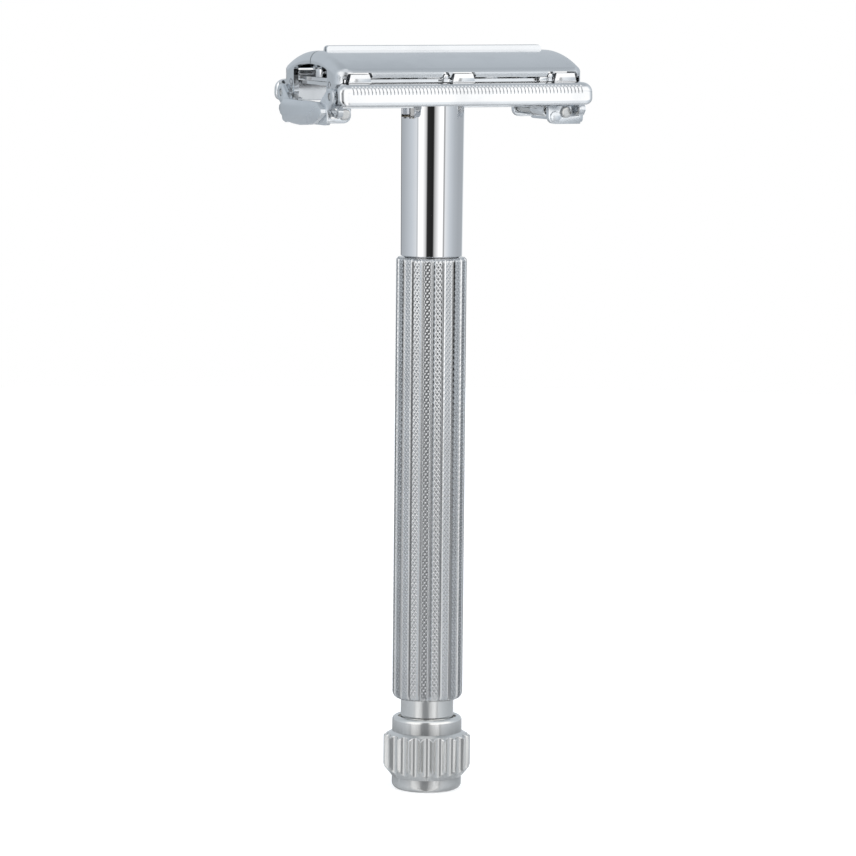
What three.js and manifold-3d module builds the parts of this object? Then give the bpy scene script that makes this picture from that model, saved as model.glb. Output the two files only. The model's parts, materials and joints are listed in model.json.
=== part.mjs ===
// Twist-to-open double-edge safety razor.
// Millimetres, +Z up along the handle, +X along the head, origin at the centre of the knob's foot.
// Turning the knob lifts a cross bar, and the two doors of the head swing open on it.

import * as THREE from "three";
import { mergeVertices } from "three/addons/utils/BufferGeometryUtils.js";
import Module from "manifold-3d";

const wasm = await Module();
wasm.setup();

// ---------------------------------------------------------------- driving dimensions

const TOTAL_HEIGHT = 115.3;
const FINE = 40; // sides of the large rounds
const COARSE = 12; // sides of the small rounds
const PLAY = 0.12; // clearance of a fitted round piece
const GAP = 0.3; // clearance beside a moving piece

const QUARTER = Math.PI / 2;
const SLACK = 0.05; // clearance between faces that only meet
const OVERCUT = 1; // how far a cutting body runs past what it cuts

const GRIP = {
  radius: 5.43,
  bottom: 14.2,
  top: 82.8,
  flutes: 20,
  fluteShare: 0.28,
  fluteDepth: 0.28,
  edge: 1.1,
  topEdge: 0.35,
};
const NECK = { radius: 4.87, footRadius: 4.75, bottom: 83.0 };
const STEM = { radius: 4.05, bottom: 7.6, bore: 3.1, groove: 0.4 };
const KNOB = {
  ribRadius: 6.75,
  collarRadius: 5.4,
  height: 11.5,
  ribBottom: 2.0,
  ribTop: 9.1,
  flutes: 21,
  fluteRadius: 0.86,
  fluteOffset: 0.26,
  footEdge: 1.0,
  crownEdge: 0.7,
  lowerSlope: 1.2,
  upperSlope: 0.6,
};
const RETAINER = { bottom: 9.7, top: 10.3, inner: 3.75, outer: 4.55 };
const MOUTH_RADIUS = 4.5;
const INSERT = { bottom: 1.8, top: 6.9, radius: 2.9 };
const END_CAP = { radius: 3.6, top: 1.2 };
const BUSH = { length: 6, upperBottom: 98, lowerBottom: 8.1 };

const GUARD = {
  halfX: 21.3,
  outer: 12.5,
  inner: 10.6,
  bottom: 106.5,
  top: 109.9,
  web: 0.5,
  webHalfX: 19.6,
  edge: 0.4,
  topRadius: 1.3,
  endRadius: 1.5,
};
const BED = { bottom: 109.95, top: 110.5, halfX: 19.4, halfY: 9.4, padY: 10.6, padRise: 0.8 };
const PAD_CENTRES = [-17.3, 0, 17.3];
const PAD = { width: 3.8, slope: 0.35, depth: 1.8, relief: 0.3 };
const RIVET = { x: 11, y: 6, radius: 0.7, rise: 0.25, headRadius: 1.1 };
const STUD = { x: 18.0, halfX: 1.5, halfY: 1.0, edge: 0.6, rise: 1.3 };

const DOOR = {
  halfX: 20.7,
  wall: 0.8,
  crown: 114.5,
  lipY: 10.6,
  lipTop: 111.95,
  lipBottom: 111.2,
  radius: 22.5,
  endRadius: 1.6,
  planRadius: 2.2,
  seam: 0.1,
  edgeInset: 0.15,
};
const RIDGE = { halfX: 18.2, thickness: 0.54 };
const WINDOW = { halfY: 6.05, springing: 111.6, apex: 112.55 };
const LEG = {
  inner: DOOR.halfX - DOOR.wall,
  ear: 1.4,
  heel: 109.4,
  waist: 109.85,
  neckY: 9.8,
  shoulder: 110.2,
  edgeY: 10.3,
};

const LIFT = 3.0; // travel of the cross bar
const OPENING = THREE.MathUtils.degToRad(70); // swing of each door over that travel
const PIVOT = { y: 8.9, z: 107.9, radius: 0.5, headRadius: 0.8, headRise: 0.15 };
const TONGUE = { y: 7.0, z: 109.65, halfY: 0.3, halfZ: 0.25, slot: 0.5, wall: 0.95 };

const BAR = { bottom: 105.8, thickness: 0.5, halfY: 2.2, eyeX: 18.7, eyeZ: 105.2, eyeRadius: 0.95 };
const ROD = { radius: 1.6, neckRadius: 1.4, bottom: 3.2, edge: 0.4, headRadius: 2.2, headRise: 0.7 };
const BRACKET = {
  earPlate: [21.0, 21.6],
  lobePlate: [21.6, 22.4],
  lobeHalfY: 7.7,
  bottom: 103.6,
  top: 107.0,
  ear: 1.3,
  earRoot: [5.8, 105.6],
  plateRadius: 0.7,
  flangeInner: 7.4,
  flangeOuter: 8.2,
  flangeRadius: 1.2,
  flangeTop: 106.1,
  bridgeTop: 104.6,
};
const LONG_FLANGE = { side: -1, endX: 15.7, bottom: 103.4 };
const SHORT_FLANGE = { side: 1, endX: 17.65, bottom: 103.9 };
const BOSS = { x: 16.8, z: 104.5, radius: 0.85, rise: 0.3 };
const CROSS_PIN = { radius: 0.55, headRadius: 0.85, headRise: 0.3 };
const BORE_PLAY = 0.08; // clearance of a pin in its bore

// ---------------------------------------------------------------- solids

// A three.js geometry as a manifold solid: only positions, shared corners merged.
function solidOf(geometry) {
  const bare = geometry.index ? geometry.toNonIndexed() : geometry.clone();
  bare.deleteAttribute("normal");
  bare.deleteAttribute("uv");
  const merged = mergeVertices(bare, 1e-4);
  return new wasm.Manifold(
    new wasm.Mesh({
      numProp: 3,
      vertProperties: new Float32Array(merged.attributes.position.array),
      triVerts: new Uint32Array(merged.index.array),
    }),
  );
}

function geometryOf(solid) {
  const mesh = solid.getMesh();
  const geometry = new THREE.BufferGeometry();
  geometry.setAttribute("position", new THREE.BufferAttribute(mesh.vertProperties, mesh.numProp));
  geometry.setIndex(new THREE.BufferAttribute(mesh.triVerts, 1));
  const flat = geometry.toNonIndexed();
  flat.computeVertexNormals();
  return flat;
}

const join = (...solids) => solids.reduce((sum, next) => sum.add(next));
const cut = (solid, ...tools) => tools.reduce((rest, tool) => rest.subtract(tool), solid);

// An outline of [u, v] points, with optional holes, pushed through a depth along +w.
function extruded(outline, depth, holes = []) {
  const shape = new THREE.Shape(outline.map(([u, v]) => new THREE.Vector2(u, v)));
  for (const hole of holes) shape.holes.push(new THREE.Path(hole.map(([u, v]) => new THREE.Vector2(u, v))));
  return new THREE.ExtrudeGeometry(shape, { depth, bevelEnabled: false, steps: 1 });
}

const X_AXIS = new THREE.Vector3(1, 0, 0);
const Y_AXIS = new THREE.Vector3(0, 1, 0);
const Z_AXIS = new THREE.Vector3(0, 0, 1);

// Prism of a (y, z) outline between two stations along X.
function prismX(outline, from, to, holes) {
  const basis = new THREE.Matrix4().makeBasis(Y_AXIS, Z_AXIS, X_AXIS).setPosition(from, 0, 0);
  return solidOf(extruded(outline, to - from, holes).applyMatrix4(basis));
}

// Prism of an (x, z) outline between two stations along Y.
function prismY(outline, from, to, holes) {
  const back = Y_AXIS.clone().negate();
  const basis = new THREE.Matrix4().makeBasis(X_AXIS, Z_AXIS, back).setPosition(0, to, 0);
  return solidOf(extruded(outline, to - from, holes).applyMatrix4(basis));
}

// Prism of an (x, y) outline between two heights.
function prismZ(outline, from, to, holes) {
  return solidOf(extruded(outline, to - from, holes).translate(0, 0, from));
}

// Body turned about the Z axis from a closed loop of [radius, z] points, up the outside first.
function turned(profile, sides = FINE) {
  const loop = [...profile, profile[0]].map(([r, z]) => new THREE.Vector2(r, z));
  return solidOf(new THREE.LatheGeometry(loop, sides).rotateX(Math.PI / 2));
}

const ring = (inner, outer, from, to, sides = FINE) =>
  turned([[outer, from], [outer, to], [inner, to], [inner, from]], sides);
const disc = (radius, from, to, sides = FINE) => turned([[0, from], [radius, from], [radius, to], [0, to]], sides);

// Round bar of a given radius between two stations along X or Y.
function barAlong(axis, radius, from, to, [first, second]) {
  const round = circle(first, second, radius, COARSE);
  return axis === "x" ? prismX(round, from, to) : prismY(round, from, to);
}

// ---------------------------------------------------------------- outlines

function arc(centreU, centreV, radius, from, to, steps) {
  return Array.from({ length: steps + 1 }, (_, i) => {
    const angle = from + ((to - from) * i) / steps;
    return [centreU + radius * Math.cos(angle), centreV + radius * Math.sin(angle)];
  });
}

const circle = (u, v, radius, sides) => arc(u, v, radius, 0, 2 * Math.PI, sides).slice(0, sides);
const rectangle = (u0, u1, v0, v1) => [[u0, v0], [u1, v0], [u1, v1], [u0, v1]];
const bySize = (a, b) => [a, b].sort((low, high) => low - high);
const mirrored = (outline) => outline.map(([u, v]) => [-u, v]).reverse();

function roundedRectangle(u0, u1, v0, v1, radius, steps = 6) {
  return [
    ...arc(u0 + radius, v0 + radius, radius, 2 * QUARTER, 3 * QUARTER, steps),
    ...arc(u1 - radius, v0 + radius, radius, 3 * QUARTER, 4 * QUARTER, steps),
    ...arc(u1 - radius, v1 - radius, radius, 0, QUARTER, steps),
    ...arc(u0 + radius, v1 - radius, radius, QUARTER, 2 * QUARTER, steps),
  ];
}

// Band of constant half width round a path of points, with rounded ends.
function band(path, halfWidth) {
  const side = path.map((point, i) => {
    const before = path[Math.max(i - 1, 0)];
    const after = path[Math.min(i + 1, path.length - 1)];
    return Math.atan2(after[1] - before[1], after[0] - before[0]);
  });
  const offset = (i, turn) => [
    path[i][0] + halfWidth * Math.cos(side[i] + turn),
    path[i][1] + halfWidth * Math.sin(side[i] + turn),
  ];
  const last = path.length - 1;
  const capSteps = 8;
  const right = path.map((_, i) => offset(i, -QUARTER));
  const left = path.map((_, i) => offset(last - i, QUARTER));
  const endCap = arc(...path[last], halfWidth, side[last] - QUARTER, side[last] + QUARTER, capSteps);
  const startCap = arc(...path[0], halfWidth, side[0] + QUARTER, side[0] + 3 * QUARTER, capSteps);
  return [...right.slice(0, -1), ...endCap, ...left.slice(1, -1), ...startCap.slice(0, -1)];
}

// ---------------------------------------------------------------- finishes

const finish = (color, roughness, metalness = 1) => new THREE.MeshStandardMaterial({ color, roughness, metalness });
const CHROME = finish(0xc9cdd1, 0.12);
const SATIN = finish(0x8e8c88, 0.35);
const KNURLED = finish(0x6f6e6c, 0.4);
const BRASS = finish(0xb8964e, 0.35);
const STEEL = finish(0x9a9da1, 0.3);

const razor = new THREE.Group();

function add(name, solid, material, parent = razor) {
  const mesh = new THREE.Mesh(geometryOf(solid), material);
  mesh.name = name;
  parent.add(mesh);
  return mesh;
}

// ---------------------------------------------------------------- handle

// One tube: slim stem below, neck above, forked at the top for the cross bar.
function handleTube() {
  const top = GUARD.top - GUARD.web - SLACK;
  const tube = turned([
    [STEM.radius, STEM.bottom],
    [STEM.radius, NECK.bottom],
    [NECK.footRadius, NECK.bottom],
    [NECK.radius, BAR.bottom],
    [NECK.radius, top],
    [STEM.bore, top],
    [STEM.bore, STEM.bottom],
  ]);
  const slotHalf = BAR.halfY + GAP;
  const reach = NECK.radius + OVERCUT;
  const slot = prismX(rectangle(-slotHalf, slotHalf, BAR.bottom - GAP, GUARD.top), -reach, reach);
  const groove = ring(
    STEM.radius - STEM.groove,
    STEM.radius + OVERCUT,
    RETAINER.bottom - 2 * SLACK,
    RETAINER.top + 2 * SLACK,
  );
  return cut(tube, slot, groove);
}

// Sleeve with shallow lengthwise flutes and rounded ends.
function gripSleeve() {
  const pitch = (2 * Math.PI) / GRIP.flutes;
  const fluteHalf = (pitch * GRIP.fluteShare) / 2;
  const floor = GRIP.radius - GRIP.fluteDepth;
  const outline = [];
  for (let i = 0; i < GRIP.flutes; i++) {
    const [start, end] = [i * pitch, (i + 1) * pitch];
    outline.push(...arc(0, 0, GRIP.radius, start + fluteHalf, end - fluteHalf, 2));
    outline.push([floor * Math.cos(end), floor * Math.sin(end)]);
  }
  const fluted = prismZ(outline, GRIP.bottom, GRIP.top, [circle(0, 0, STEM.radius + PLAY, FINE)]);
  const envelope = turned([
    [0, GRIP.bottom - OVERCUT],
    ...arc(GRIP.radius - GRIP.edge, GRIP.bottom + GRIP.edge, GRIP.edge, -QUARTER, 0, 4),
    [GRIP.radius, GRIP.top - GRIP.topEdge],
    [GRIP.radius - GRIP.topEdge, GRIP.top],
    [0, GRIP.top + OVERCUT],
  ]);
  return fluted.intersect(envelope);
}

// Bush in the tube's bore that the rod slides in.
function guideBush(bottom) {
  return ring(ROD.radius + 2 * SLACK, STEM.bore - SLACK, bottom, bottom + BUSH.length, COARSE * 2);
}

// ---------------------------------------------------------------- knob

// Turned knob with two collars and a ring of concave flutes between them.
function knobBody() {
  const { collarRadius, ribRadius, ribBottom, ribTop, height, footEdge, crownEdge } = KNOB;
  const chamfer = ribRadius - collarRadius;
  const capBore = END_CAP.radius + PLAY;
  const insertBore = INSERT.radius + PLAY;
  const seat = END_CAP.top + 2 * SLACK;
  const ringBore = RETAINER.outer + 4 * SLACK;
  const body = turned([
    [insertBore, seat],
    [capBore, seat],
    [capBore, 0],
    ...arc(collarRadius - footEdge, footEdge, footEdge, -QUARTER, 0, 5),
    [collarRadius, ribBottom],
    [ribRadius, ribBottom + chamfer * KNOB.lowerSlope],
    [ribRadius, ribTop - chamfer * KNOB.upperSlope],
    [collarRadius, ribTop],
    ...arc(collarRadius - crownEdge, height - crownEdge, crownEdge, 0, QUARTER, 4),
    [MOUTH_RADIUS, height - 4 * SLACK],
    [MOUTH_RADIUS, RETAINER.top + 2 * SLACK],
    [ringBore, RETAINER.top + 2 * SLACK],
    [ringBore, RETAINER.bottom - 2 * SLACK],
    [MOUTH_RADIUS, RETAINER.bottom - 2 * SLACK],
    [MOUTH_RADIUS, INSERT.top + 2 * SLACK],
    [insertBore, INSERT.top + 2 * SLACK],
  ]);
  const reach = ribRadius + KNOB.fluteOffset;
  const flutes = Array.from({ length: KNOB.flutes }, (_, i) => {
    const angle = (i / KNOB.flutes) * 2 * Math.PI;
    const round = circle(reach * Math.cos(angle), reach * Math.sin(angle), KNOB.fluteRadius, 10);
    return prismZ(round, ribBottom + SLACK, ribTop - SLACK);
  });
  return cut(body, ...flutes);
}

// ---------------------------------------------------------------- guard and blade bed

// Stamped base: a thin web between two safety bars, with four cam tongues at its ends.
function guardPlate() {
  const { outer, inner, bottom, top, halfX, webHalfX, edge, topRadius } = GUARD;
  const half = [
    [inner, top],
    [inner, bottom + edge],
    [inner + edge, bottom],
    [outer - edge, bottom],
    [outer, bottom + edge],
    ...arc(outer - topRadius, top - topRadius, topRadius, 0, QUARTER, 5),
  ];
  const barSpan = roundedRectangle(-halfX, halfX, bottom, top + GUARD.endRadius, GUARD.endRadius);
  const bars = join(prismX(half, -halfX, halfX), prismX(mirrored(half), -halfX, halfX)).intersect(
    prismY(barSpan, -outer - OVERCUT, outer + OVERCUT),
  );
  const webHalfY = inner + 2 * SLACK;
  const web = prismX(rectangle(-webHalfY, webHalfY, top - GUARD.web, top), -webHalfX, webHalfX);
  const rodHole = disc(ROD.headRadius + GAP, top - OVERCUT, top + OVERCUT, COARSE * 2);
  return cut(join(bars, web, ...camTongues()), rodHole);
}

// The four tongues that stand out of the web's ends and drive the doors.
function camTongues() {
  const tongues = [];
  for (const side of [-1, 1]) {
    for (const end of [-1, 1]) {
      const y = side * TONGUE.y;
      const outline = rectangle(
        y - TONGUE.halfY,
        y + TONGUE.halfY,
        TONGUE.z - TONGUE.halfZ,
        TONGUE.z + TONGUE.halfZ,
      );
      const reach = bySize(end * (GUARD.webHalfX - GUARD.web), end * DOOR.halfX);
      tongues.push(prismX(outline, ...reach));
    }
  }
  return tongues;
}

const BED_RIVETS = [
  [-RIVET.x, -RIVET.y],
  [RIVET.x, -RIVET.y],
  [-RIVET.x, RIVET.y],
  [RIVET.x, RIVET.y],
];

// Bed under the blade, with six raised pads that the blade rests on near its edges.
function bladeBed() {
  const { halfX, halfY, bottom, top } = BED;
  const plate = prismZ(rectangle(-halfX, halfX, -halfY, halfY), bottom, top);
  const foot = PAD.width / 2;
  const crown = foot - PAD.slope;
  const pads = [];
  for (const side of [-1, 1]) {
    for (const centre of PAD_CENTRES) {
      const outline = [
        [centre - foot, bottom],
        [centre + foot, bottom],
        [centre + crown, top + BED.padRise],
        [centre - crown, top + BED.padRise],
      ];
      pads.push(prismY(outline, ...bySize(side * (BED.padY - PAD.depth), side * BED.padY)));
    }
  }
  const through = [bottom - OVERCUT, top + OVERCUT];
  const rodHole = disc(ROD.headRadius + GAP, ...through, COARSE * 2);
  const shanks = [...BED_RIVETS, [-STUD.x, 0], [STUD.x, 0]];
  const holes = shanks.map(([x, y]) => prismZ(circle(x, y, RIVET.radius + PLAY, COARSE), ...through));
  return cut(join(plate, ...pads), rodHole, ...holes);
}

// Flat-headed rivet through the bed: its shank stops just above the web.
function bedRivet(x, y) {
  const shank = prismZ(circle(x, y, RIVET.radius, COARSE), BED.bottom + SLACK / 2, BED.top + PLAY);
  const head = prismZ(circle(x, y, RIVET.headRadius, COARSE), BED.top + SLACK / 2, BED.top + RIVET.rise);
  return join(shank, head);
}

// Oblong stud that centres the blade by its end slot.
function bladeStud(x) {
  const { halfX, halfY, edge, rise } = STUD;
  const shank = prismZ(circle(x, 0, RIVET.radius, COARSE), BED.bottom + SLACK / 2, BED.top + PLAY);
  const outline = roundedRectangle(x - halfX, x + halfX, -halfY, halfY, edge);
  return join(shank, prismZ(outline, BED.top + SLACK / 2, BED.top + rise));
}

// ---------------------------------------------------------------- doors

// Centre of the circle that runs from the crown's edge at the seam down to the lip.
function doorArcCentre() {
  const crownEdge = DOOR.seam + RIDGE.thickness;
  const [dy, dz] = [DOOR.lipY - DOOR.edgeInset - crownEdge, DOOR.lipTop - DOOR.crown];
  const chord = Math.hypot(dy, dz);
  const rise = Math.sqrt(DOOR.radius ** 2 - (chord / 2) ** 2);
  return [crownEdge + dy / 2 + (dz / chord) * rise, DOOR.crown + dz / 2 - (dy / chord) * rise];
}

function doorArc(radius, steps = 12) {
  const [cy, cz] = doorArcCentre();
  const crownEdge = DOOR.seam + RIDGE.thickness;
  const from = Math.atan2(DOOR.crown - cz, crownEdge - cy);
  const to = Math.atan2(DOOR.lipTop - cz, DOOR.lipY - DOOR.edgeInset - cy);
  return arc(cy, cz, radius, from, to, steps);
}

// Where the fixed tongue lies, seen from the door, as the door lifts and swings.
function camPath(steps = 10) {
  return Array.from({ length: steps + 1 }, (_, i) => {
    const t = i / steps;
    const swing = OPENING * t;
    const [dy, dz] = [TONGUE.y - PIVOT.y, TONGUE.z - PIVOT.z - LIFT * t];
    return [
      PIVOT.y + dy * Math.cos(swing) - dz * Math.sin(swing),
      PIVOT.z + dy * Math.sin(swing) + dz * Math.cos(swing),
    ];
  });
}

// End wall of a door: arched window, pivot ear and the curved cam slot.
function doorLeg(from, to) {
  const archRise = WINDOW.apex - WINDOW.springing;
  const arch = arc(0, 0, 1, QUARTER, 0, 8).map(([u, v]) => [
    Math.max(u * WINDOW.halfY, DOOR.seam),
    WINDOW.springing + v * archRise,
  ]);
  const wall = [
    ...arch,
    [WINDOW.halfY, LEG.heel],
    [PIVOT.y - LEG.ear, PIVOT.z],
    [PIVOT.y, PIVOT.z + LEG.ear - 2 * SLACK],
    [LEG.neckY, LEG.waist],
    [LEG.edgeY, LEG.shoulder],
    [LEG.edgeY + DOOR.edgeInset, DOOR.lipBottom],
    ...doorArc(DOOR.radius).reverse(),
    [DOOR.seam, DOOR.crown],
  ].reverse();
  const ear = prismX(circle(PIVOT.y, PIVOT.z, LEG.ear, FINE / 2), from, to);
  const tail = prismX(band(camPath(), TONGUE.wall), from, to);
  const through = [from - OVERCUT, to + OVERCUT];
  const slot = prismX(band(camPath(), TONGUE.slot), ...through);
  const hole = prismX(circle(PIVOT.y, PIVOT.z, PIVOT.radius + 2 * SLACK, COARSE), ...through);
  return cut(join(prismX(wall, from, to), ear, tail), slot, hole);
}

// Notch in the lip that clears one pad of the bed.
function padRelief(centre) {
  const foot = PAD.width / 2 + GAP;
  const crown = foot - PAD.slope;
  const notch = [
    [centre - foot, DOOR.lipBottom - GAP],
    [centre + foot, DOOR.lipBottom - GAP],
    [centre + crown, DOOR.lipBottom + PAD.relief],
    [centre - crown, DOOR.lipBottom + PAD.relief],
  ];
  return prismY(notch, DOOR.lipY - PAD.depth, DOOR.lipY + OVERCUT);
}

// Curved skin with its turned-in lip, square at the ends.
function doorSkin() {
  const { lipY, lipTop, lipBottom, seam, crown, wall, radius, halfX } = DOOR;
  const lip = [
    [lipY, lipTop - 2 * DOOR.edgeInset],
    [lipY - SLACK, lipBottom + 2 * SLACK],
    [lipY - 5 * SLACK, lipBottom],
    [lipY - wall - 2 * SLACK, lipBottom],
    [lipY - wall - 5 * SLACK, lipBottom + 5 * SLACK],
  ];
  const section = [
    [seam, crown],
    ...doorArc(radius),
    ...lip,
    ...doorArc(radius - wall).reverse().slice(1),
    [seam, crown - wall],
  ].reverse();
  return prismX(section, -halfX, halfX);
}

// One door in its place on the +Y side.
function doorShell() {
  const { halfX, crown, endRadius, lipY, wall, seam } = DOOR;
  const legs = [doorLeg(LEG.inner, halfX), doorLeg(-halfX, -LEG.inner)];
  const lowest = BRACKET.bottom;
  const [tipX, tipZ] = [halfX - endRadius, crown - endRadius];
  const sideView = [
    [-halfX, lowest],
    [halfX, lowest],
    ...arc(tipX, tipZ, endRadius, 0, QUARTER, 6),
    [tipX, TOTAL_HEIGHT],
    [-tipX, TOTAL_HEIGHT],
    ...arc(-tipX, tipZ, endRadius, QUARTER, 2 * QUARTER, 6),
  ];
  const plan = roundedRectangle(-halfX, halfX, -lipY, lipY, DOOR.planRadius);
  const keep = join(
    prismZ(plan, LEG.waist, TOTAL_HEIGHT),
    prismZ(rectangle(-halfX, halfX, -lipY, lipY), lowest, LEG.waist + SLACK),
  );
  const shell = join(doorSkin(), ...legs)
    .intersect(prismY(sideView, -OVERCUT, lipY + OVERCUT))
    .intersect(keep);
  const ridgeOutline = rectangle(seam, seam + RIDGE.thickness, crown - wall, TOTAL_HEIGHT);
  const ridge = prismX(ridgeOutline, -RIDGE.halfX, RIDGE.halfX);
  return cut(join(shell, ridge), ...PAD_CENTRES.map(padRelief));
}

// ---------------------------------------------------------------- lifter

// Flat bar across the head, ending in an eye at each bracket.
function crossBar() {
  const { bottom, thickness, halfY, eyeX, eyeZ, eyeRadius } = BAR;
  const top = bottom + thickness;
  const bar = prismY(rectangle(-eyeX, eyeX, bottom, top), -halfY, halfY);
  const ends = [-eyeX, eyeX];
  const eyes = ends.map((x) => prismY(circle(x, eyeZ, eyeRadius, COARSE), -halfY, halfY));
  const bore = CROSS_PIN.radius + BORE_PLAY;
  const holes = ends.map((x) => prismY(circle(x, eyeZ, bore, COARSE), -halfY - OVERCUT, halfY + OVERCUT));
  const rodHole = disc(ROD.neckRadius + PLAY, bottom - OVERCUT, top + OVERCUT, COARSE);
  return cut(join(bar, ...eyes), ...holes, rodHole);
}

// Threaded rod down the handle; a collar carries the bar and a riveted head holds it.
function centreRod() {
  const top = BAR.bottom + BAR.thickness;
  return turned(
    [
      [0, ROD.bottom],
      [ROD.radius - ROD.edge, ROD.bottom],
      [ROD.radius, ROD.bottom + ROD.edge],
      [ROD.radius, BAR.bottom - SLACK],
      [ROD.neckRadius, BAR.bottom - SLACK],
      [ROD.neckRadius, top + SLACK],
      [ROD.headRadius, top + SLACK],
      [ROD.headRadius - ROD.edge, top + ROD.headRise],
      [0, top + ROD.headRise],
    ],
    COARSE,
  );
}

// Outline of the end plate: broad hips, clipped corners and a slightly bellied lower edge.
function lobeOutline() {
  const { lobeHalfY: halfY, bottom, top } = BRACKET;
  const right = [
    [0, bottom - 0.25],
    [3.0, bottom - 0.1],
    [5.4, bottom + 0.3],
    [halfY - 0.5, bottom + 1.2],
    [halfY, bottom + 1.9],
    [halfY - 0.1, bottom + 2.4],
    [halfY - 0.9, bottom + 2.9],
    [halfY - 1.5, top],
    [2.4, top + 0.1],
    [0, top],
  ];
  return [...right, ...mirrored(right).slice(1, -1)];
}

// Outline of a side flange, rounded at the lower inner corner and stepped to clear the door legs.
function flangeOutline({ endX, bottom }) {
  const { flangeRadius, flangeTop, bridgeTop, earPlate } = BRACKET;
  const stepX = LEG.inner - GAP;
  const plateX = earPlate[0] + 4 * SLACK;
  return [
    ...arc(endX + flangeRadius, bottom + flangeRadius, flangeRadius, 2 * QUARTER, 3 * QUARTER, 5),
    [plateX, bottom],
    [plateX, bridgeTop],
    [stepX, bridgeTop],
    [stepX, flangeTop],
    [endX, flangeTop],
  ];
}

// Bracket at the +X end: end plate with hinge ears, a long flange with a boss and a short flange.
function endBracket() {
  const { earPlate, lobePlate, bottom, top, plateRadius, earRoot, flangeInner, flangeOuter } = BRACKET;
  const [earFrom, earTo] = earPlate;
  const lobe = prismX(lobeOutline(), ...lobePlate);
  const plateSpan = roundedRectangle(-flangeOuter, flangeOuter, bottom, top, plateRadius, 4);
  const pieces = [lobe, prismX(plateSpan, earFrom, earTo + SLACK)];
  const holes = [];
  for (const flange of [LONG_FLANGE, SHORT_FLANGE]) {
    const { side } = flange;
    const pivot = [side * PIVOT.y, PIVOT.z];
    const root = [side * earRoot[0], earRoot[1]];
    pieces.push(prismX(band([root, pivot], BRACKET.ear), earFrom, earTo));
    holes.push(prismX(circle(...pivot, PIVOT.radius + BORE_PLAY, COARSE), earFrom - OVERCUT, earTo));
    const [from, to] = bySize(side * flangeInner, side * flangeOuter);
    pieces.push(prismY(flangeOutline(flange), from, to));
    const bore = circle(BAR.eyeX, BAR.eyeZ, CROSS_PIN.radius + BORE_PLAY, COARSE);
    holes.push(prismY(bore, from - OVERCUT, to + OVERCUT));
  }
  const bossFoot = LONG_FLANGE.side * flangeInner;
  const bossSpan = bySize(bossFoot, LONG_FLANGE.side * (flangeOuter + BOSS.rise));
  pieces.push(barAlong("y", BOSS.radius, ...bossSpan, [BOSS.x, BOSS.z]));
  return cut(join(...pieces), ...holes);
}

// Pin through both flanges and the bar's eye, riveted over at each end.
function crossPin() {
  const reach = BRACKET.flangeOuter + SLACK;
  const at = [BAR.eyeX, BAR.eyeZ];
  const head = reach + CROSS_PIN.headRise;
  return join(
    barAlong("y", CROSS_PIN.radius, -head, head, at),
    barAlong("y", CROSS_PIN.headRadius, -head, -reach, at),
    barAlong("y", CROSS_PIN.headRadius, reach, head, at),
  );
}

// Pin that a door leg turns on: headed inside the leg, pressed into the bracket's ear.
function hingePin() {
  const inner = LEG.inner - SLACK;
  const at = [PIVOT.y, PIVOT.z];
  return join(
    barAlong("x", PIVOT.radius, inner - 2 * SLACK, BRACKET.earPlate[1] - 2 * SLACK, at),
    barAlong("x", PIVOT.headRadius, inner - PIVOT.headRise, inner, at),
  );
}

// ---------------------------------------------------------------- assembly

add("handle_tube", handleTube(), CHROME);
add("grip_sleeve", gripSleeve(), KNURLED);
add("guide_bush_upper", guideBush(BUSH.upperBottom), BRASS);
add("guide_bush_lower", guideBush(BUSH.lowerBottom), BRASS);
add("guard_plate", guardPlate(), CHROME);
add("blade_bed", bladeBed(), CHROME);
BED_RIVETS.forEach(([x, y], i) => add(`bed_rivet_${i + 1}`, bedRivet(x, y), CHROME));
add("blade_stud_left", bladeStud(-STUD.x), CHROME);
add("blade_stud_right", bladeStud(STUD.x), CHROME);

add("knob_body", knobBody(), SATIN);
const insert = ring(ROD.radius + 2 * SLACK, INSERT.radius, INSERT.bottom, INSERT.top, COARSE * 2);
add("knob_thread_insert", insert, BRASS);
add("knob_end_cap", disc(END_CAP.radius, 0, END_CAP.top), SATIN);
const washerTop = STEM.bottom - 2 * SLACK;
add("thrust_washer", ring(ROD.radius + GAP, STEM.radius + GAP / 2, INSERT.top + 3 * SLACK, washerTop), BRASS);
add("retaining_ring", ring(RETAINER.inner, RETAINER.outer, RETAINER.bottom, RETAINER.top), STEEL);

add("centre_rod", centreRod(), STEEL);
add("cross_bar", crossBar(), CHROME);
for (const [name, turn] of [["right", 0], ["left", Math.PI]]) {
  const end = new THREE.Group();
  end.rotation.z = turn;
  razor.add(end);
  add(`end_bracket_${name}`, endBracket(), CHROME, end);
  add(`cross_pin_${name}`, crossPin(), STEEL, end);
}
for (const [name, turn] of [["rear", 0], ["front", Math.PI]]) {
  const side = new THREE.Group();
  side.rotation.z = turn;
  razor.add(side);
  add(`door_${name}`, doorShell(), CHROME, side);
  add(`hinge_pin_${name}_a`, hingePin(), STEEL, side);
  const far = hingePin().mirror([1, 0, 0]);
  add(`hinge_pin_${name}_b`, far, STEEL, side);
}

export default razor;
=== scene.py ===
"""Looks of a twist-to-open safety razor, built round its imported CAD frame."""
import json
import logging
import math
from collections.abc import Iterable, Iterator, Sequence
from contextlib import contextmanager
from dataclasses import dataclass, field
from enum import Enum
from functools import cache

import bmesh
import bpy
import numpy as np
from mathutils import Matrix, Vector

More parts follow.
